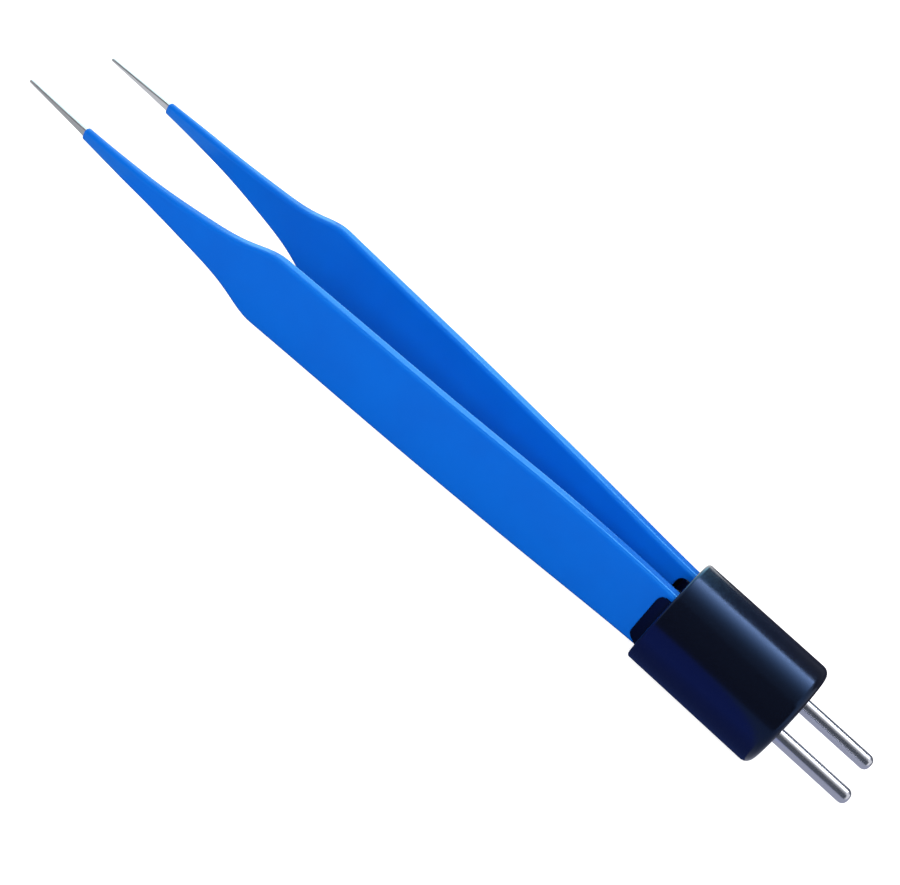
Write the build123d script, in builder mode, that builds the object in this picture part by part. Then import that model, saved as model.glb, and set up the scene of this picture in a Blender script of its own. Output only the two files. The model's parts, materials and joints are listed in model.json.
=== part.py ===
from build123d import *
import math
import os

# Bipolar forceps: two sprung stainless tines, each in a nylon sleeve, potted side by side in a
# round plug. Two contact pins run through the plug's rear wall and each is riveted to one tine.
# Millimetres. The forceps lie on their side, broad blades upright.
# Origin: centre of the plug's rear face. +X runs out along the contact pins, and the tines run
# to -X. +Y is the left tine's side, and the tines close along Y. +Z is up.

# Plug housing
housing_diameter = 16.0
housing_length = 20.6
housing_wall = 1.1
rear_wall = 3.5
rear_rim_radius = 1.2
front_rim_radius = 0.45

# Contact pins, turned, with a thicker seat in the rear wall and a flattened tongue inside the plug
pin_diameter = 2.2
pin_seat_diameter = 2.6
pin_spacing = 8.3
pin_reach = 11.7
pin_dome_radius = 0.85
pin_collar_diameter = 3.4
pin_collar_length = 1.2
tongue_width = 3.0
tongue_thickness = 0.9

# Steel blades: thickness, edges and the tang that lies inside the plug
blade_thickness = 1.25
neck_thickness = 0.95
tip_thickness = 0.55
blade_edge_radius = 0.25
tip_end_radius = 0.1
tang_length = 9.4

# Steel blades: stretches that follow each other from the plug's front face to the tip
bend_run = 12.0
belly_run = 26.0
parallel_run = 29.5
crest_run = 5.5
hollow_run = 7.0
slim_run = 11.5
nose_run = 10.4
bare_tip_length = 11.6
root_flare_run = 24.0

# Steel blades: half widths at the root, on the parallel part and at the end of each later stretch
root_half_width = 4.85
full_half_width = 5.45
crest_half_width = 3.87
hollow_half_width = 2.4
neck_half_width = 1.19
nose_half_width = 0.63
tip_half_width = 0.27

# Steel blades: how far the middle of the blade stands out from the forceps' axis
root_offset = 3.15
bend_offset = 3.65
belly_offset = 5.6
shoulder_offset = 7.3
neck_offset = 8.7
tip_offset = 8.35
root_splay = 0.01
root_flare = 0.04
tip_splay = -0.037

# Nylon sleeves, which end where the bare tips begin
sleeve_wall = 0.3
sleeve_edge_radius = 0.55
sleeve_nose_radius = 0.2
sleeve_buried_length = 2.5

# Rivets that fasten each tang to the tongue of its pin
rivet_diameter = 1.2
rivet_head_diameter = 2.3
rivet_head_height = 0.45
rivet_setback = 1.4

# Potting, which climbs a little way up the broad faces of the tines, and the tang spacer
potting_recess = 0.3
meniscus_rise = 2.0
meniscus_foot = 1.1
meniscus_crown = 0.15
meniscus_waist = 0.3
meniscus_edge_margin = 0.75
meniscus_corner_radius = 1.3
spacer_length = 13.5
spacer_height = 9.0

# Flexing of each tine, taken at a pivot inside the plug's mouth
pivot_depth = 5.0
closed_tip_gap = 0.1

# Clearances
bond_gap = 0.02
slot_gap = 0.15
slot_end_gap = 0.3
rivet_gap = 0.05

# Places along the tines, measured forward from the plug's front face
shoulder_place = bend_run + belly_run + parallel_run
crest_place = shoulder_place + crest_run
hollow_place = crest_place + hollow_run
neck_place = hollow_place + slim_run
nose_place = neck_place + nose_run
tip_place = nose_place + bare_tip_length


def along(place):
    """X of a place that lies so far in front of the plug's front face."""
    return -(housing_length + place)


# Plug
housing_radius = housing_diameter / 2
bore_radius = housing_radius - housing_wall
potting_front = along(0) + potting_recess

# Each tine closes until its tip stops just short of the forceps' axis
closing_travel = tip_offset - tip_thickness / 2 - closed_tip_gap / 2
closing_sine = closing_travel / (tip_place + pivot_depth)
mouth_sweep = (pivot_depth + meniscus_rise) * closing_sine
tang_sweep = (tang_length - pivot_depth) * closing_sine

# Slot of each tang: it is open towards the axis by what the tine sweeps there
blade_half = blade_thickness / 2
slot_inner = root_offset - blade_half - sleeve_wall - mouth_sweep - slot_gap
slot_outer = root_offset + blade_half + max(sleeve_wall, tang_sweep) + slot_gap
slot_half_height = root_half_width + sleeve_wall + slot_gap
slot_end = along(-tang_length) + slot_end_gap

# Pins and rivets
pin_radius = pin_diameter / 2
pin_seat_radius = pin_seat_diameter / 2
pin_offset = pin_spacing / 2
collar_end = -(rear_wall + pin_collar_length)
tongue_outer = slot_outer + tongue_thickness
rivet_place = along(-tang_length) - rivet_setback
rivet_sweep = abs(rivet_place - along(-pivot_depth)) * closing_sine
rivet_reach = tongue_outer + bond_gap + rivet_head_height
rivet_swing = (rivet_reach - root_offset) * closing_sine


def tine_form(grow, edge_radius):
    """The left tine from tang to tip, grown all round by a coat of that thickness."""
    stations = [
        (0, root_offset, blade_thickness),
        (bend_run, bend_offset, blade_thickness),
        (bend_run + belly_run, belly_offset, blade_thickness),
        (shoulder_place, shoulder_offset, blade_thickness),
        (neck_place, neck_offset, neck_thickness),
        (tip_place, tip_offset, tip_thickness),
    ]
    outer_points = [(along(q), y + t / 2 + grow) for q, y, t in stations]
    inner_points = [(along(q), y - t / 2 - grow) for q, y, t in stations]
    face_ends = [(-1, root_splay), (-1, tip_splay)]
    tang_end = along(-tang_length)
    root_half = root_half_width + grow
    full_half = full_half_width + grow
    tip_half = tip_half_width + grow
    throat_points = [
        (along(shoulder_place), full_half),
        (along(crest_place), crest_half_width + grow),
        (along(hollow_place), hollow_half_width + grow),
        (along(neck_place), neck_half_width + grow),
    ]
    nose_taper = (-nose_run, nose_half_width - neck_half_width)
    tip_taper = (-bare_tip_length, tip_half_width - nose_half_width)
    below = full_half + blade_thickness
    beside = neck_offset + shoulder_offset
    with BuildPart() as tine:
        with BuildSketch(Plane.XY.offset(-below)):
            with BuildLine():
                outer = Spline(outer_points, tangents=face_ends)
                inner = Spline(inner_points, tangents=face_ends)
                Line(outer @ 1, inner @ 1)
                Polyline(
                    outer @ 0,
                    (tang_end, (outer @ 0).Y),
                    (tang_end, (inner @ 0).Y),
                    inner @ 0,
                )
            make_face()
        extrude(amount=2 * below)
        with BuildSketch(Plane.XZ.offset(-beside)):
            with BuildLine() as upper:
                tang = Line((tang_end, root_half), (along(0), root_half))
                flare = Spline(
                    tang @ 1,
                    (along(root_flare_run), full_half),
                    tangents=[(-1, root_flare), (-1, 0)],
                )
                belly = Line(flare @ 1, throat_points[0])
                throat = Spline(throat_points, tangents=[(-1, 0), nose_taper])
                nose = Line(throat @ 1, (along(nose_place), nose_half_width + grow))
                Spline(nose @ 1, (along(tip_place), tip_half), tangents=[nose_taper, tip_taper])
                mirror(upper.line, about=Plane.XZ)
                Line((tang_end, root_half), (tang_end, -root_half))
                Line((along(tip_place), tip_half), (along(tip_place), -tip_half))
            make_face()
        extrude(amount=2 * beside, mode=Mode.INTERSECT)
        fillet(tine.edges().filter_by(lambda e: e.bounding_box().size.X > edge_radius), edge_radius)
    return tine.part


# Steel blades
with BuildPart() as left_blade:
    add(tine_form(0, blade_edge_radius))
    fillet(left_blade.faces().sort_by(Axis.X)[0].edges(), tip_end_radius)
    with BuildSketch(Plane.XZ):
        with Locations((rivet_place, 0)):
            Circle(rivet_diameter / 2 + bond_gap)
    extrude(amount=-2 * root_offset, mode=Mode.SUBTRACT)

with BuildPart() as right_blade:
    mirror(left_blade.part, about=Plane.XZ)

# Nylon sleeves, open at both ends
with BuildPart() as left_sleeve:
    add(tine_form(sleeve_wall, sleeve_edge_radius))
    split(bisect_by=Plane.YZ.offset(along(nose_place)), keep=Keep.TOP)
    split(bisect_by=Plane.YZ.offset(along(-sleeve_buried_length)), keep=Keep.BOTTOM)
    fillet(left_sleeve.faces().sort_by(Axis.X)[0].edges(), sleeve_nose_radius)
    add(tine_form(bond_gap, blade_edge_radius + bond_gap), mode=Mode.SUBTRACT)

with BuildPart() as right_sleeve:
    mirror(left_sleeve.part, about=Plane.XZ)


def pin_form(grow):
    """The left contact pin, grown all round by that gap, without the hole in its tongue."""
    with BuildPart() as pin:
        with BuildSketch(Plane.XY):
            with BuildLine():
                Polyline(
                    (pin_reach, pin_offset),
                    (collar_end, pin_offset),
                    (collar_end, pin_offset + pin_collar_diameter / 2 + grow),
                    (-rear_wall, pin_offset + pin_collar_diameter / 2 + grow),
                    (-rear_wall, pin_offset + pin_seat_radius + grow),
                    (0, pin_offset + pin_seat_radius + grow),
                    (0, pin_offset + pin_radius + grow),
                    (pin_reach, pin_offset + pin_radius + grow),
                    (pin_reach, pin_offset),
                )
            make_face()
        revolve(axis=Axis((0, pin_offset, 0), (1, 0, 0)))
        dome = pin.faces().sort_by(Axis.X)[-1].edges()
        fillet(dome, pin_dome_radius)
        with BuildSketch(Plane.XZ.offset(-slot_outer)):
            tongue_length = collar_end - rivet_place
            with Locations((rivet_place + tongue_length / 2, 0)):
                Rectangle(tongue_length, tongue_width + 2 * grow)
            with Locations((rivet_place, 0)):
                Circle(tongue_width / 2 + grow)
        extrude(amount=-(tongue_thickness + grow))
    return pin.part


# Contact pins
with BuildPart() as left_pin:
    add(pin_form(0))
    with BuildSketch(Plane.XZ.offset(-slot_outer)):
        with Locations((rivet_place, 0)):
            Circle(rivet_diameter / 2 + rivet_swing + rivet_gap)
    extrude(amount=-tongue_thickness, mode=Mode.SUBTRACT)

with BuildPart() as right_pin:
    mirror(left_pin.part, about=Plane.XZ)

# Rivets: a head against the tang, a shank through tang and tongue, a head formed outside
with BuildPart() as left_rivet:
    with BuildSketch(Plane.XY):
        inner_seat = root_offset - blade_half - bond_gap
        outer_seat = tongue_outer + bond_gap
        with BuildLine():
            Polyline(
                (rivet_place, outer_seat + rivet_head_height),
                (rivet_place, inner_seat - rivet_head_height),
                (rivet_place + rivet_diameter / 2, inner_seat - rivet_head_height),
            )
            RadiusArc(
                (rivet_place + rivet_diameter / 2, inner_seat - rivet_head_height),
                (rivet_place + rivet_head_diameter / 2, inner_seat),
                -rivet_head_diameter / 2,
            )
            Polyline(
                (rivet_place + rivet_head_diameter / 2, inner_seat),
                (rivet_place + rivet_diameter / 2, inner_seat),
                (rivet_place + rivet_diameter / 2, outer_seat),
                (rivet_place + rivet_head_diameter / 2, outer_seat),
            )
            RadiusArc(
                (rivet_place + rivet_head_diameter / 2, outer_seat),
                (rivet_place + rivet_diameter / 2, outer_seat + rivet_head_height),
                -rivet_head_diameter / 2,
            )
            Line(
                (rivet_place + rivet_diameter / 2, outer_seat + rivet_head_height),
                (rivet_place, outer_seat + rivet_head_height),
            )
        make_face()
    revolve(axis=Axis((rivet_place, 0, 0), (0, 1, 0)))

with BuildPart() as right_rivet:
    mirror(left_rivet.part, about=Plane.XZ)

# Plug housing: a moulded cup, open at the front, with rounded rims and two pin holes
with BuildPart() as plug_housing:
    with BuildSketch(Plane.YZ):
        Circle(housing_radius)
    extrude(amount=-housing_length)
    fillet(plug_housing.faces().sort_by(Axis.X)[-1].edges(), rear_rim_radius)
    with BuildSketch(Plane.YZ.offset(-rear_wall)):
        Circle(bore_radius)
    extrude(amount=-(housing_length - rear_wall), mode=Mode.SUBTRACT)
    fillet(plug_housing.faces().sort_by(Axis.X)[0].edges(), front_rim_radius)
    with BuildSketch(Plane.YZ):
        with Locations((pin_offset, 0), (-pin_offset, 0)):
            Circle(pin_seat_radius + bond_gap)
    extrude(amount=-2 * rear_wall, mode=Mode.SUBTRACT)

# Tang spacer: it stands on the plug's floor and keeps the two tangs apart
with BuildPart() as tang_spacer:
    with BuildSketch(Plane.YZ.offset(-rear_wall)):
        Rectangle(2 * slot_inner, spacer_height)
    extrude(amount=-spacer_length)


def meniscus(slot_face, away):
    """A lip of potting that rises along a tine; away is +1 or -1, the side that it thins to."""
    lip_half_height = root_half_width + sleeve_wall - meniscus_edge_margin
    foot = slot_face + away * meniscus_foot
    crown = slot_face + away * meniscus_crown
    waist = slot_face + away * meniscus_waist * meniscus_foot
    with BuildPart() as lip:
        with BuildSketch(Plane.XY.offset(-lip_half_height)):
            with BuildLine():
                Polyline(
                    (potting_front, foot),
                    (potting_front + potting_recess, foot),
                    (potting_front + potting_recess, slot_face),
                    (potting_front - meniscus_rise, slot_face),
                    (potting_front - meniscus_rise, crown),
                )
                ThreePointArc(
                    (potting_front - meniscus_rise, crown),
                    (potting_front - meniscus_waist * meniscus_rise, waist),
                    (potting_front, foot),
                )
            make_face()
        extrude(amount=2 * lip_half_height)
        crown_corners = lip.edges().filter_by(Axis.Y).group_by(Axis.X)[0]
        fillet(crown_corners, meniscus_corner_radius)
    return lip.part


# Potting: black resin poured round everything inside the housing
with BuildPart() as potting:
    with BuildSketch(Plane.YZ.offset(-rear_wall)):
        Circle(bore_radius - bond_gap)
    extrude(amount=potting_front + rear_wall)
    add(meniscus(slot_outer, 1))
    add(meniscus(slot_inner, -1))
    mirror(about=Plane.XZ)
    with BuildSketch(Plane.YZ.offset(potting_front - meniscus_rise)):
        with Locations(((slot_inner + slot_outer) / 2, 0), (-(slot_inner + slot_outer) / 2, 0)):
            RectangleRounded(slot_outer - slot_inner, 2 * slot_half_height, sleeve_edge_radius)
    extrude(amount=slot_end - potting_front + meniscus_rise, mode=Mode.SUBTRACT)
    add(tang_spacer.part, mode=Mode.SUBTRACT)
    for side_pin in (pin_form(bond_gap), mirror(pin_form(bond_gap), about=Plane.XZ, mode=Mode.PRIVATE)):
        add(side_pin, mode=Mode.SUBTRACT)
    for side in (1, -1):
        with BuildSketch(Plane.XZ.offset(-side * tongue_outer)):
            with Locations((rivet_place, 0)):
                Circle(rivet_head_diameter / 2 + rivet_swing + rivet_gap)
        extrude(amount=-side * (rivet_head_height + rivet_sweep + slot_gap), mode=Mode.SUBTRACT)

os.makedirs("parts", exist_ok=True)
pieces = {
    "plug_housing": plug_housing,
    "potting": potting,
    "tang_spacer": tang_spacer,
    "left_pin": left_pin,
    "right_pin": right_pin,
    "left_blade": left_blade,
    "right_blade": right_blade,
    "left_sleeve": left_sleeve,
    "right_sleeve": right_sleeve,
    "left_rivet": left_rivet,
    "right_rivet": right_rivet,
}
for name, piece in pieces.items():
    piece.part.label = name
    export_step(piece.part, f"parts/{name}.step")
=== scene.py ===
"""Bipolar forceps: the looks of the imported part, built round its CAD frame.

Everything is in metres, in the part's own frame: the origin is the centre of the plug's rear
face, +X runs out along the contact pins, the tines run to -X, the left tine is at +Y and +Z is
up. The forceps lie on their side, with their broad blades upright.
"""

import json
import logging
import math
from collections.abc import Iterable, Sequence
from dataclasses import dataclass, field
from enum import Enum

import bmesh
import bpy
import numpy as np
from mathutils import Matrix, Quaternion, Vector


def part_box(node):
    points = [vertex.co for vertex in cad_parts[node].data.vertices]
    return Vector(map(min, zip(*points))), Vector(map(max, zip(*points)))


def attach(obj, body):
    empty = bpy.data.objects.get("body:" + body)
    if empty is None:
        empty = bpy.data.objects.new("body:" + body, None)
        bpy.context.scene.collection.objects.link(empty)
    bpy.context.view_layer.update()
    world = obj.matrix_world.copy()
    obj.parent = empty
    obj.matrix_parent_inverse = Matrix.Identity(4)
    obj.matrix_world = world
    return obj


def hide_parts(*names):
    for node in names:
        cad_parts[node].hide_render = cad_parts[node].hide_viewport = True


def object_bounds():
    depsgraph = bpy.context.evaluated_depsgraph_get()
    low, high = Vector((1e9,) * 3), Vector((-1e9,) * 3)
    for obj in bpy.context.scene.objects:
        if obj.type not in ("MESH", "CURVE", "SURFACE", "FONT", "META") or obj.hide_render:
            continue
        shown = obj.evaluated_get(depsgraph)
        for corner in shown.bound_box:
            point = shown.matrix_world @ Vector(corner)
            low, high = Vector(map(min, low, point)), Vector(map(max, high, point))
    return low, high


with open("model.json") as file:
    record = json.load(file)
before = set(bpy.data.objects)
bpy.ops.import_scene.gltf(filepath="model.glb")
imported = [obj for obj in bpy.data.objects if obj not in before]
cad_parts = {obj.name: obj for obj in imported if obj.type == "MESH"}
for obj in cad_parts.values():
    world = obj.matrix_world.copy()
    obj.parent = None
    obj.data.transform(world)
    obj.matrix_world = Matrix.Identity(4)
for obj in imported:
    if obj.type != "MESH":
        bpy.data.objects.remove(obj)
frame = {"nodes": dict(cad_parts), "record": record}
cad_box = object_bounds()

Tree = bpy.types.NodeTree
Socket = bpy.types.NodeSocket
BMesh = bmesh.types.BMesh

MM = 0.001
ORIGIN = Vector((0, 0, 0))
SHARP_ANGLE = math.radians(35)
MERGE_DISTANCE = 0.001 * MM
BOND_GAP = 0.02 * MM
# The middle range that an even noise mostly keeps to.
NOISE_LOW, NOISE_HIGH = 0.2, 0.8
# The numbers of a mixing node's sockets, as it mixes colours.
MIX_FACTOR, MIX_FIRST, MIX_SECOND, MIX_RESULT = 0, 6, 7, 2
MATERIALS: dict[str, bpy.types.Material] = {}

log = logging.getLogger("forceps")


class Side(Enum):
    """The two tines, by the sign of the side of the axis that they stand on."""

    LEFT = 1
    RIGHT = -1

    @property
    def label(self) -> str:
        """The side in lower case, as the nodes are named."""
        return self.name.lower()

    @property
    def body(self) -> str:
        """The body that this side's tine moves with."""
        return f"{self.label}_tine"


def linear(hexadecimal: str) -> tuple[float, float, float, float]:
    """Turns an sRGB colour into the linear one that a shader takes.

    Args:
        hexadecimal: Six hexadecimal digits, red first.

    Returns:
        Linear red, green and blue, and an alpha of 1.
    """
    shares = [int(hexadecimal[i : i + 2], 16) / 255 for i in (0, 2, 4)]
    curved = [s / 12.92 if s <= 0.04045 else ((s + 0.055) / 1.055) ** 2.4 for s in shares]
    return (*curved, 1.0)


def add_node(tree: Tree, kind: str, inputs: dict, **settings) -> bpy.types.Node:
    """Adds one node with its settings, values and links.

    Args:
        tree: The node tree that it goes into.
        kind: The node's type, without the prefix that all shader nodes share.
        inputs: What each input gets, by name or number: an output socket is linked, and
            anything else is set as the input's value.
        settings: The node's own properties.

    Returns:
        The new node.
    """
    node = tree.nodes.new("ShaderNode" + kind)
    for name, value in settings.items():
        setattr(node, name, value)
    for key, value in inputs.items():
        if isinstance(value, bpy.types.NodeSocket):
            tree.links.new(value, node.inputs[key])
        else:
            node.inputs[key].default_value = value
    return node


def bare_material(name: str) -> bpy.types.Material:
    """Makes a node material with nothing in its tree.

    Args:
        name: The material's name.

    Returns:
        The new material.
    """
    made = bpy.data.materials.new(name)
    made.use_nodes = True
    made.node_tree.nodes.clear()
    return made


def noise(tree: Tree, place: Socket, size: float, detail: float) -> Socket:
    """Makes even noise.

    Args:
        tree: The material's node tree.
        place: The coordinates that it follows.
        size: The size of one blotch, in the coordinates' unit.
        detail: How many finer layers lie in it.

    Returns:
        The noise, from 0 to 1.
    """
    inputs = {"Vector": place, "Scale": 1 / size, "Detail": detail}
    return add_node(tree, "TexNoise", inputs).outputs["Fac"]


def between(tree: Tree, factor: Socket, low: float, high: float) -> Socket:
    """Eases a noise over a range.

    Args:
        tree: The material's node tree.
        factor: The noise.
        low: What its low values turn into.
        high: What its high values turn into.

    Returns:
        The eased value.
    """
    inputs = {
        "Value": factor,
        "From Min": NOISE_LOW,
        "From Max": NOISE_HIGH,
        "To Min": low,
        "To Max": high,
    }
    return add_node(tree, "MapRange", inputs, interpolation_type="SMOOTHERSTEP").outputs["Result"]


def bumped(tree: Tree, height: Socket, depth: float) -> Socket:
    """A normal with the height as relief of that depth in metres."""
    inputs = {"Height": height, "Distance": depth, "Strength": 1.0}
    return add_node(tree, "Bump", inputs).outputs["Normal"]


@dataclass(frozen=True)
class Finish:
    """A real material with the surface that its maker gave it.

    Where a pattern makes the roughness uneven, it goes down by as much as smoother says and up
    by as much as rougher says.
    """

    name: str
    colour: str
    roughness: float
    metallic: float = 0.0
    ior: float = 1.5
    sheen_tint: str = "FFFFFF"
    smoother: float = 0.02
    rougher: float = 0.05

    def pattern(self, tree: Tree, place: Socket) -> dict:
        """The inputs of the shader that a pattern drives, from the object's coordinates."""
        return {}

    def uneven(self, tree: Tree, factor: Socket) -> Socket:
        """The finish's roughness, made uneven by a noise."""
        return between(tree, factor, self.roughness - self.smoother, self.roughness + self.rougher)

    def material(self) -> bpy.types.Material:
        """Builds the material.

        Returns:
            A node material whose constants stand on the shader's own sockets.
        """
        made = bare_material(self.name)
        tree = made.node_tree
        place = add_node(tree, "TexCoord", {}).outputs["Object"]
        constants = {
            "Base Color": linear(self.colour),
            "Roughness": self.roughness,
            "Metallic": self.metallic,
            "IOR": self.ior,
            "Specular Tint": linear(self.sheen_tint),
        }
        shader = add_node(tree, "BsdfPrincipled", constants | self.pattern(tree, place))
        add_node(tree, "OutputMaterial", {"Surface": shader.outputs["BSDF"]})
        return made


@dataclass(frozen=True)
class CoatedNylon(Finish):
    """Nylon powder, fused onto the blades: smooth and satin, with a soft orange peel."""

    smoother: float = 0.03
    rougher: float = 0.05
    deep_colour: str = "055AC4"
    deepest_share: float = 0.5
    peel_size: float = 0.9 * MM
    peel_depth: float = 0.012 * MM
    peel_detail: float = 1.0
    blotch_size: float = 9 * MM
    blotch_detail: float = 2.0

    def pattern(self, tree: Tree, place: Socket) -> dict:
        """Makes soft blotches in the colour, a peel in the surface and an uneven gloss.

        Args:
            tree: The material's node tree.
            place: The object's coordinates.

        Returns:
            The shader's inputs that the pattern drives.
        """
        peel = noise(tree, place, self.peel_size, self.peel_detail)
        blotch = noise(tree, place, self.blotch_size, self.blotch_detail)
        shades = {
            MIX_FACTOR: between(tree, blotch, 0.0, self.deepest_share),
            MIX_FIRST: linear(self.colour),
            MIX_SECOND: linear(self.deep_colour),
        }
        return {
            "Base Color": add_node(tree, "Mix", shades, data_type="RGBA").outputs[MIX_RESULT],
            "Roughness": self.uneven(tree, blotch),
            "Normal": bumped(tree, peel, self.peel_depth),
        }


@dataclass(frozen=True)
class GroundSteel(Finish):
    """Stainless steel, ground and satin finished along the blade: fine lengthwise lines."""

    smoother: float = 0.06
    rougher: float = 0.08
    line_spacing: float = 0.12 * MM
    line_length: float = 6 * MM
    line_depth: float = 0.002 * MM
    line_detail: float = 3.0

    def pattern(self, tree: Tree, place: Socket) -> dict:
        """Makes grinding lines, coarser than real grit so that they show.

        Args:
            tree: The material's node tree.
            place: The object's coordinates.

        Returns:
            The shader's inputs that the pattern drives.
        """
        stretch = Vector((1 / self.line_length, 1 / self.line_spacing, 1 / self.line_spacing))
        along = add_node(tree, "Mapping", {"Vector": place, "Scale": stretch}).outputs["Vector"]
        lines = noise(tree, along, 1.0, self.line_detail)
        return {
            "Roughness": self.uneven(tree, lines),
            "Normal": bumped(tree, lines, self.line_depth),
        }


@dataclass(frozen=True)
class MouldedPlastic(Finish):
    """Hard plastic from a polished mould: glossy, with a slight sink and fine handling marks."""

    smoother: float = 0.02
    rougher: float = 0.06
    sink_size: float = 6 * MM
    sink_depth: float = 0.01 * MM
    sink_detail: float = 1.0
    mark_size: float = 0.35 * MM
    mark_detail: float = 4.0

    def pattern(self, tree: Tree, place: Socket) -> dict:
        """Makes a wide shallow sink in the surface and small changes in the gloss.

        Args:
            tree: The material's node tree.
            place: The object's coordinates.

        Returns:
            The shader's inputs that the pattern drives.
        """
        sink = noise(tree, place, self.sink_size, self.sink_detail)
        marks = noise(tree, place, self.mark_size, self.mark_detail)
        return {
            "Roughness": self.uneven(tree, marks),
            "Normal": bumped(tree, sink, self.sink_depth),
        }


@dataclass(frozen=True)
class TurnedMetal(Finish):
    """Plated metal, turned and polished: bright, with very fine rings round the pin."""

    ring_spacing: float = 0.09 * MM
    ring_depth: float = 0.0004 * MM
    ring_detail: float = 2.0
    film_size: float = 3 * MM
    film_detail: float = 3.0

    def pattern(self, tree: Tree, place: Socket) -> dict:
        """Makes tool rings, coarser than real ones, and a faint film in the gloss.

        Args:
            tree: The material's node tree.
            place: The object's coordinates.

        Returns:
            The shader's inputs that the pattern drives.
        """
        stretch = Vector((1 / self.ring_spacing, 1 / self.film_size, 1 / self.film_size))
        across = add_node(tree, "Mapping", {"Vector": place, "Scale": stretch}).outputs["Vector"]
        rings = noise(tree, across, 1.0, self.ring_detail)
        film = noise(tree, place, self.film_size, self.film_detail)
        return {
            "Roughness": self.uneven(tree, film),
            "Normal": bumped(tree, rings, self.ring_depth),
        }


SLEEVE_NYLON = CoatedNylon("blue_coated_nylon", "0763CE", 0.19, ior=1.6, sheen_tint="70E4FF")
BLADE_STEEL = GroundSteel("satin_ground_stainless_steel", "D2D3D5", 0.30, metallic=1.0)
PLUG_PLASTIC = MouldedPlastic("black_moulded_abs", "08080F", 0.18, ior=1.54, sheen_tint="72AAFF")
POTTING_RESIN = MouldedPlastic(
    "black_cast_epoxy", "04050B", 0.14, ior=1.55, sheen_tint="5078B4", sink_size=2.5 * MM
)
PIN_METAL = TurnedMetal("polished_nickel_plate", "CACCD6", 0.22, metallic=1.0)
SPACER_PLASTIC = MouldedPlastic("natural_moulded_nylon", "D8CDB4", 0.45, ior=1.53)
RIVET_STEEL = TurnedMetal("plain_rivet_steel", "B9BABC", 0.30, metallic=1.0)


class SmoothLine:
    """A smooth line through stations, with a given slope at each end."""

    def __init__(
        self, places: Sequence[float], values: Sequence[float], first: float, last: float
    ) -> None:
        """Works out the slope at each station so that the line bends without a kink.

        Args:
            places: Where the stations lie, in rising order.
            values: The line's value at each station.
            first: The slope at the first station.
            last: The slope at the last station.
        """
        self.places = np.array(places, float)
        self.values = np.array(values, float)
        runs = np.diff(self.places)
        rises = np.diff(self.values)
        count = len(self.places)
        matrix = np.eye(count)
        right = np.zeros(count)
        right[0] = first
        right[-1] = last
        for i in range(1, count - 1):
            before, after = runs[i - 1], runs[i]
            matrix[i, i - 1 : i + 2] = (1 / before, 2 / before + 2 / after, 1 / after)
            right[i] = 3 * (rises[i - 1] / before**2 + rises[i] / after**2)
        self.slopes = np.linalg.solve(matrix, right)

    def at(self, place: float) -> float:
        """Reads the line.

        Args:
            place: Where; past its ends the line stays as it is there.

        Returns:
            The line's value.
        """
        inside = min(max(place, self.places[0]), self.places[-1])
        i = min(int(np.searchsorted(self.places, inside, "right")) - 1, len(self.places) - 2)
        run = self.places[i + 1] - self.places[i]
        t = (inside - self.places[i]) / run
        rise = self.values[i + 1] - self.values[i]
        start = run * self.slopes[i] - rise
        end = rise - run * self.slopes[i + 1]
        eased = (1 - t) * self.values[i] + t * self.values[i + 1]
        return float(eased + t * (1 - t) * ((1 - t) * start + t * end))


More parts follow.
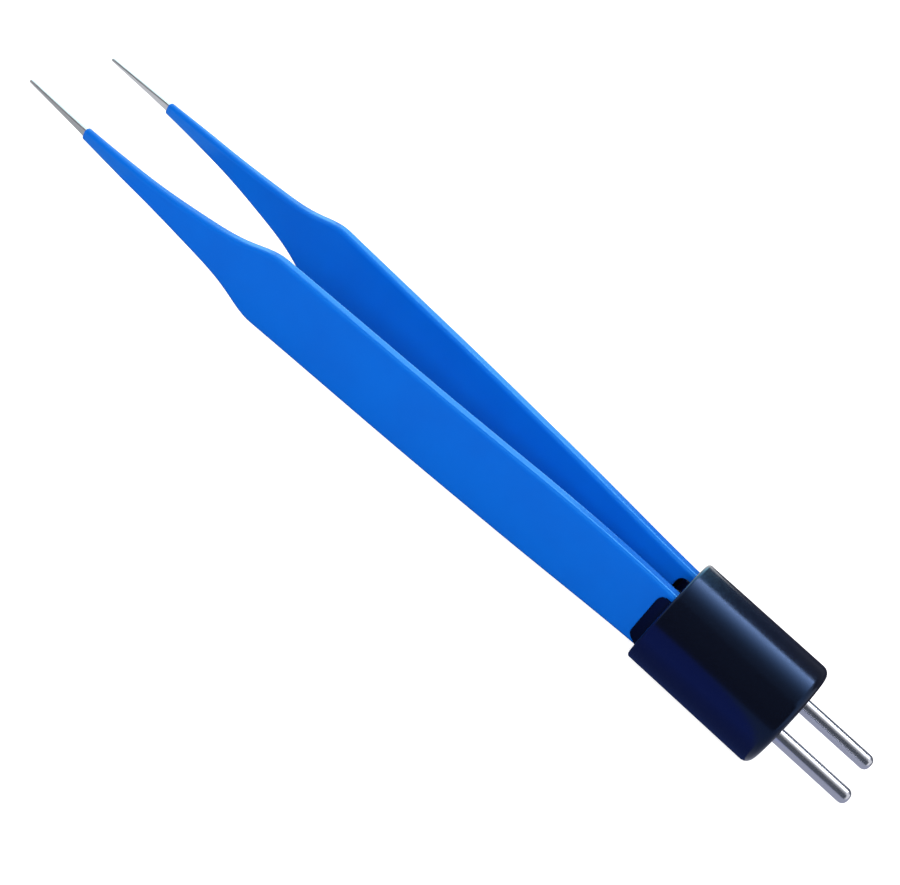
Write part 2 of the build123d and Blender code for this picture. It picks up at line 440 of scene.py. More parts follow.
@dataclass
class TineShape:
    """The form that steel and sleeve share, as distances forward of the plug's front face."""

    front: float
    tang_length: float = 9.4 * MM
    bend_place: float = 12 * MM
    belly_place: float = 38 * MM
    flare_place: float = 24 * MM
    shoulder_place: float = 67.5 * MM
    crest_place: float = 73 * MM
    hollow_place: float = 80 * MM
    neck_place: float = 91.5 * MM
    nose_place: float = 101.9 * MM
    tip_place: float = 113.5 * MM
    blade_thickness: float = 1.25 * MM
    neck_thickness: float = 0.95 * MM
    tip_thickness: float = 0.55 * MM
    root_half_width: float = 4.85 * MM
    full_half_width: float = 5.45 * MM
    crest_half_width: float = 3.87 * MM
    hollow_half_width: float = 2.4 * MM
    neck_half_width: float = 1.19 * MM
    nose_half_width: float = 0.63 * MM
    tip_half_width: float = 0.27 * MM
    root_offset: float = 3.15 * MM
    bend_offset: float = 3.65 * MM
    belly_offset: float = 5.6 * MM
    shoulder_offset: float = 7.3 * MM
    neck_offset: float = 8.7 * MM
    tip_offset: float = 8.35 * MM
    root_splay: float = 0.01
    root_flare: float = 0.04
    tip_splay: float = -0.037

    def __post_init__(self) -> None:
        """Draws the lines that the sizes give."""
        places = (
            0,
            self.bend_place,
            self.belly_place,
            self.shoulder_place,
            self.neck_place,
            self.tip_place,
        )
        offsets = (
            self.root_offset,
            self.bend_offset,
            self.belly_offset,
            self.shoulder_offset,
            self.neck_offset,
            self.tip_offset,
        )
        full = self.blade_thickness
        thicknesses = (full, full, full, full, self.neck_thickness, self.tip_thickness)
        nose_narrowing = self.nose_half_width - self.neck_half_width
        nose_taper = nose_narrowing / (self.nose_place - self.neck_place)
        tip_narrowing = self.tip_half_width - self.nose_half_width
        tip_taper = tip_narrowing / (self.tip_place - self.nose_place)
        self.offset = SmoothLine(places, offsets, self.root_splay, self.tip_splay)
        self.thickness = SmoothLine(places, thicknesses, 0, 0)
        self.flare = SmoothLine(
            (0, self.flare_place), (self.root_half_width, self.full_half_width), self.root_flare, 0
        )
        self.throat = SmoothLine(
            (self.shoulder_place, self.crest_place, self.hollow_place, self.neck_place),
            (
                self.full_half_width,
                self.crest_half_width,
                self.hollow_half_width,
                self.neck_half_width,
            ),
            0,
            nose_taper,
        )
        self.nose = SmoothLine(
            (self.neck_place, self.nose_place, self.tip_place),
            (self.neck_half_width, self.nose_half_width, self.tip_half_width),
            nose_taper,
            tip_taper,
        )

    def x(self, place: float) -> float:
        """The X of a place."""
        return self.front - place

    def half_width(self, place: float) -> float:
        """Half the steel's height.

        Args:
            place: How far forward of the plug's front face.

        Returns:
            Half the height there.
        """
        if place < self.flare_place:
            return self.flare.at(place)
        if place < self.neck_place:
            return self.throat.at(place)
        return self.nose.at(place)


@dataclass(frozen=True)
class Station:
    """One cross-section of a strip along the tine.

    place is how far forward of the plug's front face it lies, skin how far its surface stands
    off the steel, and corner the radius of its four corners.
    """

    place: float
    skin: float
    corner: float


def vertices(geom: Iterable) -> list[bmesh.types.BMVert]:
    """The vertices among what an operator made."""
    return [v for v in geom if isinstance(v, bmesh.types.BMVert)]


def open_edges(geom: Iterable) -> list[bmesh.types.BMEdge]:
    """The edges with a single face among what an operator made."""
    return [e for e in geom if isinstance(e, bmesh.types.BMEdge) and e.is_boundary]


class Strip:
    """A long bar with a rounded oblong section, drawn straight and then laid along the tine."""

    corner_steps = 8
    face_cuts = 5
    core = 0.5
    roundest = 0.93

    def __init__(self) -> None:
        """Draws the first section: a square with rounded corners, from -1 to 1 each way."""
        self.bm = bmesh.new()
        corners = bmesh.ops.create_grid(self.bm, x_segments=1, y_segments=1, size=1.0)["verts"]
        turn = Matrix.Rotation(math.pi / 2, 3, "Y")
        bmesh.ops.rotate(self.bm, verts=corners, cent=ORIGIN, matrix=turn)
        bmesh.ops.bevel(
            self.bm,
            geom=corners,
            offset=1 - self.core,
            segments=self.corner_steps,
            profile=0.5,
            affect="VERTICES",
            material=-1,
        )
        bmesh.ops.delete(self.bm, geom=self.bm.faces[:], context="FACES_ONLY")
        sides = [e for e in self.bm.edges if e.calc_length() > self.core]
        bmesh.ops.subdivide_edges(self.bm, edges=sides, cuts=self.face_cuts)
        self.first = self.bm.edges[:]
        self.last = self.first

    def grow(self, count: int) -> None:
        """Extrudes the section forward, one unit at a time.

        Args:
            count: How many sections are added.
        """
        for _ in range(count):
            grown = bmesh.ops.extrude_edge_only(self.bm, edges=self.last)["geom"]
            self.last = open_edges(grown)
            bmesh.ops.translate(self.bm, verts=vertices(grown), vec=(1, 0, 0))

    def cap(self) -> None:
        """Closes both ends with a flat face."""
        for ring in (self.first, self.last):
            bmesh.ops.contextual_create(self.bm, geom=ring)

    def join_ends(self) -> None:
        """Joins the last section to the first, which makes a tube with a wall."""
        bmesh.ops.bridge_loops(self.bm, edges=[*self.first, *self.last])

    def reach(self, share: float, half: float, corner: float) -> float:
        """Turns a share of the straight section into a distance from its middle.

        Args:
            share: From -1 to 1; the flat lies within the core, and the corner beyond it.
            half: Half the section's size this way.
            corner: The radius of its corners.

        Returns:
            The distance, with the loops on the flat drawn towards its ends.
        """
        flat = min(max(share, -self.core), self.core)
        s = flat / self.core
        drawn = 1.5 * s - 0.5 * s**3
        return drawn * (half - corner) + (share - flat) / (1 - self.core) * corner

    def lay(self, stations: Sequence[Station], shape: TineShape, side: Side) -> BMesh:
        """Lays the straight bar along the tine.

        Args:
            stations: One for each section of the bar.
            shape: The tine's form.
            side: The side of the axis that the tine stands on.

        Returns:
            The mesh in its place, with its faces turned outwards.
        """
        for vert in self.bm.verts:
            station = stations[round(vert.co.x)]
            across = shape.thickness.at(station.place) / 2 + station.skin
            up = shape.half_width(station.place) + station.skin
            corner = min(station.corner, self.roundest * across, self.roundest * up)
            offset = shape.offset.at(station.place) + self.reach(vert.co.y, across, corner)
            height = self.reach(vert.co.z, up, corner)
            vert.co = Vector((shape.x(station.place), side.value * offset, height))
        bmesh.ops.recalc_face_normals(self.bm, faces=self.bm.faces)
        if self.bm.calc_volume(signed=True) < 0:
            bmesh.ops.reverse_faces(self.bm, faces=self.bm.faces)
        return self.bm


def to_object(name: str, bm: BMesh) -> bpy.types.Object:
    """Makes an object of a mesh.

    Args:
        name: The object's name.
        bm: Its mesh, in place; it is freed.

    Returns:
        The object, at the origin.
    """
    mesh = bpy.data.meshes.new(name)
    bm.to_mesh(mesh)
    bm.free()
    made = bpy.data.objects.new(name, mesh)
    bpy.context.scene.collection.objects.link(made)
    return made


def show(name: str, bm: BMesh, finish: Finish) -> bpy.types.Object:
    """Makes a finished piece of a mesh, smooth but for its sharp edges.

    Args:
        name: The piece's name.
        bm: Its mesh, in place; it is freed.
        finish: What it is made of.

    Returns:
        The piece's object, at the origin.
    """
    for face in bm.faces:
        face.smooth = True
    for edge in bm.edges:
        edge.smooth = len(edge.link_faces) == 2 and edge.calc_face_angle(0) < SHARP_ANGLE
    piece = to_object(name, bm)
    piece.data.materials.append(MATERIALS[finish.name])
    log.info("%s: %d faces", name, len(piece.data.polygons))
    return piece


def rivet_place() -> float:
    """The X of both rivets, read from the frame."""
    low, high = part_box("left_rivet")
    return (low.x + high.x) / 2


def cut_out(whole: BMesh, drill: BMesh) -> BMesh:
    """Cuts one closed mesh out of another.

    Args:
        whole: The mesh to cut; it is freed.
        drill: What is taken out of it; it is freed.

    Returns:
        What is left of the mesh.
    """
    bodies = [to_object("cut", bm) for bm in (whole, drill)]
    cut = bodies[0].modifiers.new("cut", "BOOLEAN")
    cut.object = bodies[1]
    cut.solver = "EXACT"
    left = bmesh.new()
    left.from_object(bodies[0], bpy.context.evaluated_depsgraph_get())
    for body in bodies:
        bpy.data.objects.remove(body)
    return left


@dataclass
class Tine:
    """One tine: a steel blade in a nylon sleeve."""

    side: Side
    shape: TineShape
    step: float = 0.8 * MM
    end_steps: int = 6
    blade_edge_radius: float = 0.25 * MM
    tip_end_radius: float = 0.1 * MM
    sleeve_wall: float = 0.3 * MM
    sleeve_edge_radius: float = 0.6 * MM
    sleeve_nose_radius: float = 0.2 * MM
    sleeve_buried_length: float = 2.5 * MM
    rivet_radius: float = 0.6 * MM
    drill_length: float = 3.75 * MM
    drill_facets: int = 48

    def run(self, first: float, last: float, skin: float, corner: float) -> list[Station]:
        """Spaces stations evenly from one place to another.

        Args:
            first: The first station's place.
            last: The last station's place.
            skin: How far the surface stands off the steel.
            corner: The radius of the corners.

        Returns:
            The stations, no further apart than about a step.
        """
        count = max(2, round(abs(last - first) / self.step))
        return [Station(float(q), skin, corner) for q in np.linspace(first, last, count + 1)]

    def rounded_end(
        self, last: float, skin: float, corner: float, radius: float
    ) -> list[Station]:
        """Turns a strip's end over, up to its flat end face.

        Args:
            last: The end face's place.
            skin: How far the surface stands off the steel before the turn.
            corner: The radius of the corners before the turn.
            radius: The radius of the turn.

        Returns:
            The stations of the turn.
        """
        turned = []
        for i in range(1, self.end_steps + 1):
            angle = math.pi / 2 * i / self.end_steps
            drop = radius * (1 - math.cos(angle))
            place = last - radius + radius * math.sin(angle)
            turned.append(Station(place, skin - drop, corner - drop))
        return turned

    def blade(self) -> bpy.types.Object:
        """Builds the steel from the tang's end to the tip, with the rivet's hole in the tang.

        Returns:
            The blade's object.
        """
        tip = self.shape.tip_place
        corner = self.blade_edge_radius
        stations = self.run(-self.shape.tang_length, tip - self.tip_end_radius, 0, corner)
        stations += self.rounded_end(tip, 0, corner, self.tip_end_radius)
        strip = Strip()
        strip.grow(len(stations) - 1)
        strip.cap()
        bar = strip.lay(stations, self.shape, self.side)
        drill = bmesh.new()
        bore = Matrix.Translation((rivet_place(), self.side.value * self.shape.root_offset, 0))
        bmesh.ops.create_cone(
            drill,
            cap_ends=True,
            segments=self.drill_facets,
            radius1=self.rivet_radius + BOND_GAP,
            radius2=self.rivet_radius + BOND_GAP,
            depth=self.drill_length,
            matrix=bore @ Matrix.Rotation(math.pi / 2, 4, "X"),
        )
        return show(f"{self.side.label}_steel_blade", cut_out(bar, drill), BLADE_STEEL)

    def sleeve(self) -> bpy.types.Object:
        """Builds the sleeve: out along its skin, round its nose and back along its inner wall.

        Returns:
            The sleeve's object.
        """
        nose = self.shape.nose_place
        root = -self.sleeve_buried_length
        skin, corner = self.sleeve_wall, self.sleeve_edge_radius
        inner_corner = self.blade_edge_radius + BOND_GAP
        stations = self.run(root, nose - self.sleeve_nose_radius, skin, corner)
        stations += self.rounded_end(nose, skin, corner, self.sleeve_nose_radius)
        stations += self.run(nose, root, BOND_GAP, inner_corner)
        strip = Strip()
        strip.grow(len(stations) - 1)
        strip.join_ends()
        tube = strip.lay(stations, self.shape, self.side)
        return show(f"{self.side.label}_nylon_sleeve", tube, SLEEVE_NYLON)

    def build(self) -> None:
        """Builds both pieces and sets them on this side's body."""
        blade = self.blade()
        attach(blade, self.side.body)
        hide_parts(f"{self.side.label}_blade")
        sleeve = self.sleeve()
        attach(sleeve, self.side.body)
        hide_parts(f"{self.side.label}_sleeve")


class Profile:
    """An outline in the plane of X and radius, drawn point by point and then turned about X."""

    def __init__(self, x: float, radius: float) -> None:
        """Starts the outline at a point."""
        self.bm = bmesh.new()
        self.end = self.bm.verts.new((x, 0, radius))

    def line(self, x: float, radius: float) -> "Profile":
        """Draws a straight line to a point.

        Args:
            x: The point's X.
            radius: Its distance from the line that the outline is turned about.

        Returns:
            The profile itself.
        """
        grown = bmesh.ops.extrude_vert_indiv(self.bm, verts=[self.end])["verts"]
        self.end = grown[0]
        self.end.co = Vector((x, 0, radius))
        return self

    def arc(self, x: float, radius: float, degrees: float, steps: int = 8) -> "Profile":
        """Draws an arc, by turning the outline's end about a centre.

        Args:
            x: The centre's X.
            radius: The centre's distance from the line that the outline is turned about.
            degrees: How far the end turns.
            steps: How many straight pieces the arc has.

        Returns:
            The profile itself.
        """
        turned = bmesh.ops.spin(
            self.bm,
            geom=[self.end],
            cent=(x, 0, radius),
            axis=(0, 1, 0),
            angle=math.radians(degrees),
            steps=steps,
        )["geom_last"]
        self.end = vertices(turned)[0]
        return self

    def turned(self, offset: float = 0.0, steps: int = 64) -> BMesh:
        """Turns the outline into a round shape about a line along X.

        Args:
            offset: The line's Y.
            steps: How many facets go round.

        Returns:
            The round shape, closed where the outline reaches the line.
        """
        bmesh.ops.spin(
            self.bm,
            geom=[*self.bm.verts, *self.bm.edges],
            cent=ORIGIN,
            axis=(1, 0, 0),
            angle=2 * math.pi,
            steps=steps,
            use_merge=True,
        )
        bmesh.ops.remove_doubles(self.bm, verts=self.bm.verts, dist=MERGE_DISTANCE)
        bmesh.ops.translate(self.bm, verts=self.bm.verts, vec=(0, offset, 0))
        bmesh.ops.recalc_face_normals(self.bm, faces=self.bm.faces)
        return self.bm


def circle(bm: BMesh, x: float, y: float, radius: float, steps: int) -> list[bmesh.types.BMEdge]:
    """Draws a circle across the X axis.

    Args:
        bm: The mesh that it goes into.
        x: Its centre's X.
        y: Its centre's Y.
        radius: Its radius.
        steps: How many edges it has.

    Returns:
        Its edges.
    """
    stand = Matrix.Translation((x, y, 0)) @ Matrix.Rotation(math.pi / 2, 4, "Y")
    verts = bmesh.ops.create_circle(bm, segments=steps, radius=radius, matrix=stand)["verts"]
    return list({e for v in verts for e in v.link_edges})


@dataclass
class Plug:
    """The round plug: its moulded housing, the potting in its mouth and the contact pins."""

    rear_wall: float = 3.5 * MM
    housing_wall: float = 1.1 * MM
    rear_rim_radius: float = 1.2 * MM
    front_rim_radius: float = 0.45 * MM
    rim_land: float = 0.3 * MM
    pin_dome_radius: float = 0.85 * MM
    seat_radius: float = 1.3 * MM
    seat_edge: float = 0.06 * MM
    collar_radius: float = 1.7 * MM
    collar_length: float = 1.2 * MM
    tongue_width: float = 3 * MM
    tongue_thickness: float = 0.9 * MM
    tongue_inner: float = 4.225 * MM
    tongue_hole_radius: float = 0.815 * MM
    facets: int = 128
    pin_facets: int = 64
    dome_steps: int = 12
    flat_angle: float = math.radians(0.5)

    def __post_init__(self) -> None:
        """Reads from the frame what the CAD pieces measure."""
        low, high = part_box("plug_housing")
        self.length = high.x - low.x
        self.radius = (high.z - low.z) / 2
        self.bore = self.radius - self.housing_wall
        self.pin_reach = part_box("left_pin")[1].x
        mounts = {m["name"]: m for m in frame["record"]["mounts"]}
        self.pin_offset = mounts["left_contact_pin"]["pos_m"][1]
        self.pin_radius = mounts["left_contact_pin"]["dims"]["r_mm"] * MM
        self.rivet_place = rivet_place()

    def housing(self) -> bpy.types.Object:
        """Builds the moulded cup with its rounded rims and its two pin holes.

        Returns:
            The housing's object.
        """
        rear, front = self.rear_rim_radius, self.front_rim_radius
        rim_middle = -self.length + front
        outline = Profile(0, self.radius - rear - self.rim_land)
        outline.line(0, self.radius - rear).arc(-rear, self.radius - rear, -90)
        outline.line(rim_middle, self.radius).arc(rim_middle, self.radius - front, -90)
        outline.line(-self.length, self.bore + front)
        outline.arc(rim_middle, self.bore + front, -90)
        outline.line(-self.rear_wall, self.bore)
        bm = outline.turned(steps=self.facets)
        rims = open_edges(bm.edges)
        faces = {
            x: [e for e in rims if abs(e.verts[0].co.x - x) < BOND_GAP]
            for x in (0, -self.rear_wall)
        }
        for side in Side:
            middle = side.value * self.pin_offset
            mouth = circle(bm, 0, middle, self.seat_radius + BOND_GAP, self.pin_facets)
            bore = bmesh.ops.extrude_edge_only(bm, edges=mouth)["geom"]
            bmesh.ops.translate(bm, verts=vertices(bore), vec=(-self.rear_wall, 0, 0))
            faces[0] += mouth
            faces[-self.rear_wall] += open_edges(bore)
        for edges in faces.values():
            bmesh.ops.triangle_fill(bm, edges=edges, use_beauty=True)
        bmesh.ops.recalc_face_normals(bm, faces=bm.faces)
        return show("plug_housing_shell", bm, PLUG_PLASTIC)

    def pin(self, side: Side) -> bpy.types.Object:
        """Builds one contact pin: dome, shank, seat and collar, and its flat tongue.

        Args:
            side: Which of the two pins.

        Returns:
            The pin's object.
        """
        dome, seat = self.pin_dome_radius, self.seat_radius
        collar_end = -self.rear_wall - self.collar_length
        outline = Profile(self.pin_reach, 0)
        outline.line(self.pin_reach, self.pin_radius - dome)
        outline.arc(self.pin_reach - dome, self.pin_radius - dome, -90, self.dome_steps)
        outline.line(0, self.pin_radius).line(0, seat - self.seat_edge).line(-self.seat_edge, seat)
        outline.line(-self.rear_wall, seat).line(-self.rear_wall, self.collar_radius)
        outline.line(collar_end, self.collar_radius).line(collar_end, 0)
        bm = outline.turned(side.value * self.pin_offset, self.pin_facets)
        self.add_tongue(bm, side, collar_end)
        return show(f"{side.label}_contact_pin", bm, PIN_METAL)

    def add_tongue(self, bm: BMesh, side: Side, collar_end: float) -> None:
        """Adds the flat tongue, from the pin's collar to a round end with the rivet's hole.

        Args:
            bm: The pin's mesh.
            side: Which of the two pins.
            collar_end: The X of the collar's end.
        """
        stand = Matrix.Translation((self.rivet_place, side.value * self.tongue_inner, 0))
        flat = stand @ Matrix.Rotation(math.pi / 2, 4, "X")
        count = self.pin_facets
        rings = [
            bmesh.ops.create_circle(bm, segments=count, radius=radius, matrix=flat)["verts"]
            for radius in (self.tongue_width / 2, self.tongue_hole_radius)
        ]
        for vert in rings[0]:
            if vert.co.x > self.rivet_place + BOND_GAP:
                vert.co.x = collar_end
        edges = {e for ring in rings for v in ring for e in v.link_edges}
        filled = bmesh.ops.triangle_fill(bm, edges=list(edges), use_beauty=True)["geom"]
        faces = [f for f in filled if isinstance(f, bmesh.types.BMFace)]
        grown = bmesh.ops.extrude_face_region(bm, geom=faces, use_keep_orig=True)["geom"]
        thicker = (0, side.value * self.tongue_thickness, 0)
        bmesh.ops.translate(bm, verts=vertices(grown), vec=thicker)
        bmesh.ops.recalc_face_normals(bm, faces=bm.faces)

    def potting(self) -> bpy.types.Object:
        """Copies the cast resin's form, without the points that its flat facets don't need.

        Returns:
            The resin's object.
        """
        bm = bmesh.new()
        bm.from_mesh(frame["nodes"]["potting"].data)
        bmesh.ops.remove_doubles(bm, verts=bm.verts, dist=MERGE_DISTANCE)
        angle = self.flat_angle
        bmesh.ops.dissolve_limit(bm, angle_limit=angle, verts=bm.verts, edges=bm.edges)
        return show("cast_potting", bm, POTTING_RESIN)

    def build(self) -> None:
        """Builds the plug's pieces and sets them on the plug's body."""
        housing = self.housing()
        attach(housing, "plug")
        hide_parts("plug_housing")
        potting = self.potting()
        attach(potting, "plug")
        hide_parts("potting")
        for side in Side:
            pin = self.pin(side)
            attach(pin, "plug")
            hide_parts(f"{side.label}_pin")
        self.dress("tang_spacer", SPACER_PLASTIC)
        for side in Side:
            self.dress(f"{side.label}_rivet", RIVET_STEEL)

    def dress(self, node: str, finish: Finish) -> None:
        """Gives a CAD node that stays its finish.

        Args:
            node: The node's name.
            finish: What it is made of.
        """
        piece = frame["nodes"][node]
        piece.data.materials.clear()
        piece.data.materials.append(MATERIALS[finish.name])
        log.info("%s keeps its CAD form", node)


@dataclass(frozen=True)
class Card:
    """A shining card that only glossy surfaces see, with its radiance and its span along X.

    Across X it runs straight from one (Y, Z) point to another. Its light can grow on the way,
    from a share of the radiance at the first point to all of it at the last.
    """

    name: str
    radiance: tuple[float, float, float]
    first: tuple[float, float]
    last: tuple[float, float]
    start: float
    end: float
    dimmed: float = 1.0
    falloff: float = 1.0


@dataclass
class Studio:
    """A pale floor, cards for the gloss, two soft fill lights and the photograph's camera."""

    floor_size: float = 4.0
    floor_colour: str = "B8B8B8"
    floor_glow: float = 0.86
    camera_place: Vector = field(default_factory=lambda: Vector((-14.6, -174.2, 132.2)) * MM)
    camera_aim: Vector = field(default_factory=lambda: Vector((-56.06, -5.03, 0)) * MM)
    camera_roll: float = 33.92
    camera_lens: float = 66.3
    camera_sensor: float = 36
    camera_clip: float = 10 * MM
    box_height: float = 0.5
    box_near: float = -26.0
    box_far: float = 36.0
    box_middle: float = -0.03
    box_length: float = 0.40
    box_dimmed: float = 0.03
    box_bright: float = 11.0
    box_falloff: float = 3.0
    front_fill: float = 4.2
    back_fill: float = 2.6
    fill_distance: float = 0.45
    fill_size: float = 0.5
    ambient: float = 0.33
    card_reach: float = 0.9
    near_top: tuple[float, float] = (-0.342, 0.765)
    far_top: tuple[float, float] = (0.504, 0.702)
    far_start: float = -1.8
    far_tip_start: float = -0.63
    far_cyan_start: float = -0.56
    far_blue_start: float = -0.10
    far_grey_start: float = 0.05
    tip_start: float = -119 * MM
    plug_start: float = -22 * MM
    tip_foot: float = -9.5 * MM
    far_foot: float = 15.0 * MM
    contact_foot: float = -3.0 * MM
    shade_foot: float = -18.5 * MM
    shade_dimmed: float = 0.08
    pin_foot: float = 20.0 * MM
    flag_lift: float = 0.3 * MM
    pale_cyan: tuple[float, float, float] = (1.40, 2.80, 3.10)
    deep_blue: tuple[float, float, float] = (0.15, 0.27, 1.05)

    def __post_init__(self) -> None:
        """Works out how high the cards over the floor lie."""
        self.low = cad_box[0].z + self.flag_lift

    def soft_box(self) -> Card:
        """The soft box over the part, whose light grows towards its far edge.

        Returns:
            Its card.
        """
        near = self.box_height * math.tan(math.radians(self.box_near))
        far = self.box_height * math.tan(math.radians(self.box_far))
        return Card(
            "soft_box",
            (self.box_bright, self.box_bright, self.box_bright),
            (near, self.box_height),
            (far, self.box_height),
            self.box_middle - self.box_length / 2,
            self.box_middle + self.box_length / 2,
            self.box_dimmed,
            self.box_falloff,
        )

    def wall_cards(self) -> list[Card]:
        """The upright cards on both sides: a dark one in front, pale and dark ones behind.

        Returns:
            The cards.
        """
        reach, cyan = self.card_reach, self.pale_cyan
        near = (self.near_top, (-reach, self.low))
        far = (self.far_top, (reach, self.low))
        tip, middle = self.far_tip_start, self.far_cyan_start
        blue, grey = self.far_blue_start, self.far_grey_start
        return [
            Card("near_flag", (0.10, 0.11, 0.13), *near, -reach, reach),
            Card("far_end_card", cyan, *far, self.far_start, tip),
            Card("far_tip_card", (1.15, 1.25, 1.30), *far, tip, middle),
            Card("far_cyan_card", cyan, *far, middle, blue),
            Card("far_blue_flag", (0.07, 0.10, 0.20), *far, blue, grey),
            Card("far_grey_flag", (0.16, 0.17, 0.21), *far, grey, reach),
        ]

    def floor_cards(self) -> list[Card]:
        """The cards just over the floor, which keep its white out of the undersides' gloss.

        Returns:
            The cards.
        """
        reach, tips, blue = self.card_reach, self.tip_start, self.deep_blue
        edge, back = (-reach, self.low), (reach, self.low)
        far, pin = (self.far_foot, self.low), (self.pin_foot, self.low)
        tip, contact = (self.tip_foot, self.low), (self.contact_foot, self.low)
        shade = (self.shade_foot, self.low)
        return [
            Card("foot_far_tip_flag", (0.80, 0.80, 0.84), far, tip, -reach, tips),
            Card("foot_tip_flag", (0.50, 0.51, 0.53), tip, edge, -reach, tips),
            Card("foot_between_flag", (0.06, 0.10, 0.30), far, contact, tips, 0),
            Card("foot_shade_flag", blue, contact, shade, tips, 0, self.shade_dimmed),
            Card("foot_blue_flag", blue, shade, edge, tips, 0),
            Card("foot_pin_flag", (0.46, 0.48, 0.58), pin, edge, 0, reach),
            Card("back_tip_flag", (0.35, 0.35, 0.37), far, back, -reach, tips),
            Card("back_plug_flag", (0.05, 0.05, 0.09), far, back, self.plug_start, reach),
        ]

    def camera(self) -> None:
        """Sets the camera up where the photograph was taken from."""
        lens = bpy.data.cameras.new("camera")
        lens.lens = self.camera_lens
        lens.sensor_width = self.camera_sensor
        lens.sensor_fit = "HORIZONTAL"
        lens.clip_start = self.camera_clip
        camera = bpy.data.objects.new("camera", lens)
        bpy.context.scene.collection.objects.link(camera)
        camera.location = self.camera_place
        camera.rotation_mode = "QUATERNION"
        aim = (self.camera_aim - self.camera_place).to_track_quat("-Z", "Y")
        camera.rotation_quaternion = aim @ Quaternion((0, 0, 1), math.radians(self.camera_roll))
        bpy.context.scene.camera = camera

    def shown(self, tree: Tree) -> Socket:
        """Tells what the camera sees, directly, mirrored or through glass.

        Args:
            tree: The node tree that asks.

        Returns:
            1 for what the camera sees, or else 0.
        """
        path = add_node(tree, "LightPath", {})
        seen = path.outputs["Is Camera Ray"]
        for way in ("Is Glossy Ray", "Is Transmission Ray"):
            pair = {0: seen, 1: path.outputs[way]}
            seen = add_node(tree, "Math", pair, operation="MAXIMUM").outputs[0]
        return seen

    def prop(self, name: str, bm: BMesh, material: bpy.types.Material) -> bpy.types.Object:
        """Stands a piece of the studio up, which isn't part of the object.

        Args:
            name: Its name.
            bm: Its mesh, in place; it is freed.
            material: What it is made of.

        Returns:
            Its object.
        """
        piece = to_object(name, bm)
        piece.data.materials.append(material)
        return piece

    def floor(self) -> None:
        """Lays the floor under the part: matt, and lifted to white where the camera sees it."""
        bm = bmesh.new()
        bmesh.ops.create_grid(bm, x_segments=1, y_segments=1, size=self.floor_size / 2)
        bmesh.ops.translate(bm, verts=bm.verts, vec=(0, 0, cad_box[0].z))
        made = bare_material("white_matt_floor")
        tree = made.node_tree
        lift = {0: self.shown(tree), 1: self.floor_glow}
        strength = add_node(tree, "Math", lift, operation="MULTIPLY").outputs[0]
        matt = add_node(tree, "BsdfDiffuse", {"Color": linear(self.floor_colour)})
        light = add_node(tree, "Emission", {"Color": linear("FFFFFF"), "Strength": strength})
        both = add_node(tree, "AddShader", {0: matt.outputs[0], 1: light.outputs[0]})
        add_node(tree, "OutputMaterial", {"Surface": both.outputs[0]})
        self.prop("floor", bm, made)

    def card_light(self, card: Card) -> bpy.types.Material:
        """Makes a card's light.

        Args:
            card: The card.

        Returns:
            A material that only shines, and grows brighter across the card.
        """
        made = bare_material(card.name)
        tree = made.node_tree
        place = add_node(tree, "TexCoord", {}).outputs["Object"]
        y = add_node(tree, "SeparateXYZ", {0: place}).outputs["Y"]
        span = {"Value": y, "From Min": card.first[0], "From Max": card.last[0]}
        share = add_node(tree, "MapRange", span).outputs["Result"]
        eased = add_node(tree, "Math", {0: share, 1: card.falloff}, operation="POWER").outputs[0]
        ramp = add_node(tree, "MapRange", {"Value": eased, "To Min": card.dimmed})
        shine = {"Color": (*card.radiance, 1), "Strength": ramp.outputs["Result"]}
        light = add_node(tree, "Emission", shine)
        add_node(tree, "OutputMaterial", {"Surface": light.outputs[0]})
        return made

    def stand(self, card: Card) -> None:
        """Stands one card up.

        Args:
            card: The card.
        """
        bm = bmesh.new()
        ends = [bm.verts.new((x, *card.first)) for x in (card.start, card.end)]
        grown = bmesh.ops.extrude_edge_only(bm, edges=[bm.edges.new(ends)])["geom"]
        across = Vector((0, *card.last)) - Vector((0, *card.first))
        bmesh.ops.translate(bm, verts=vertices(grown), vec=across)
        piece = self.prop(card.name, bm, self.card_light(card))
        piece.visible_camera = piece.visible_diffuse = piece.visible_shadow = False

    def lamp(self, name: str, side: Side, power: float) -> None:
        """Hangs up a broad matt light, which leaves the gloss to the cards.

        Args:
            name: The light's name.
            side: The side of the part that it hangs on.
            power: Its power in watts.
        """
        light = bpy.data.lights.new(name, "AREA")
        light.size = self.fill_size
        light.energy = power
        lamp = bpy.data.objects.new(name, light)
        bpy.context.scene.collection.objects.link(lamp)
        place = Vector((0, side.value, 1)) * self.fill_distance
        lamp.location = place + Vector((self.camera_aim.x, 0, 0))
        lamp.rotation_mode = "QUATERNION"
        lamp.rotation_quaternion = (-place).to_track_quat("-Z", "Y")
        lamp.visible_glossy = False

    def room(self) -> None:
        """Gives the room its even light, and its white where the camera sees it."""
        world = bpy.data.worlds.new("room")
        world.use_nodes = True
        tree = world.node_tree
        tree.nodes.clear()
        levels = {"Value": self.shown(tree), "To Min": self.ambient, "To Max": 1.0}
        strength = add_node(tree, "MapRange", levels).outputs["Result"]
        light = add_node(tree, "Background", {"Color": linear("FFFFFF"), "Strength": strength})
        add_node(tree, "OutputWorld", {"Surface": light.outputs[0]})
        bpy.context.scene.world = world

    def build(self) -> None:
        """Sets up the floor, the cards, the lights and the camera."""
        self.floor()
        for card in (self.soft_box(), *self.wall_cards(), *self.floor_cards()):
            self.stand(card)
        self.lamp("front_fill", Side.RIGHT, self.front_fill)
        self.lamp("back_fill", Side.LEFT, self.back_fill)
        self.room()
        self.camera()
        bpy.context.scene.view_settings.view_transform = "Standard"


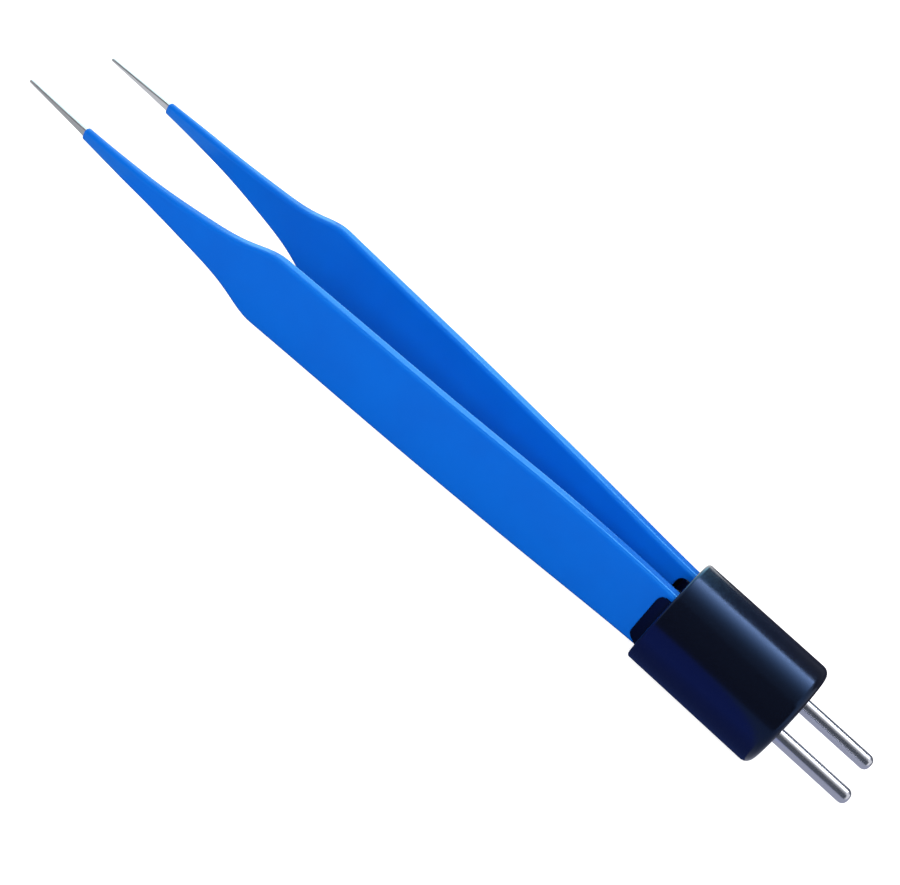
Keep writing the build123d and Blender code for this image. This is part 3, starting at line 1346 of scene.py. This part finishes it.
def main() -> None:
    """Builds the forceps and the studio."""
    logging.basicConfig(level=logging.INFO, format="%(message)s")
    for finish in (
        SLEEVE_NYLON,
        BLADE_STEEL,
        PLUG_PLASTIC,
        POTTING_RESIN,
        PIN_METAL,
        SPACER_PLASTIC,
        RIVET_STEEL,
    ):
        MATERIALS[finish.name] = finish.material()
    plug = Plug()
    plug.build()
    shape = TineShape(front=-plug.length)
    for side in Side:
        Tine(side, shape).build()
    Studio().build()


if __name__ == "__main__":
    main()
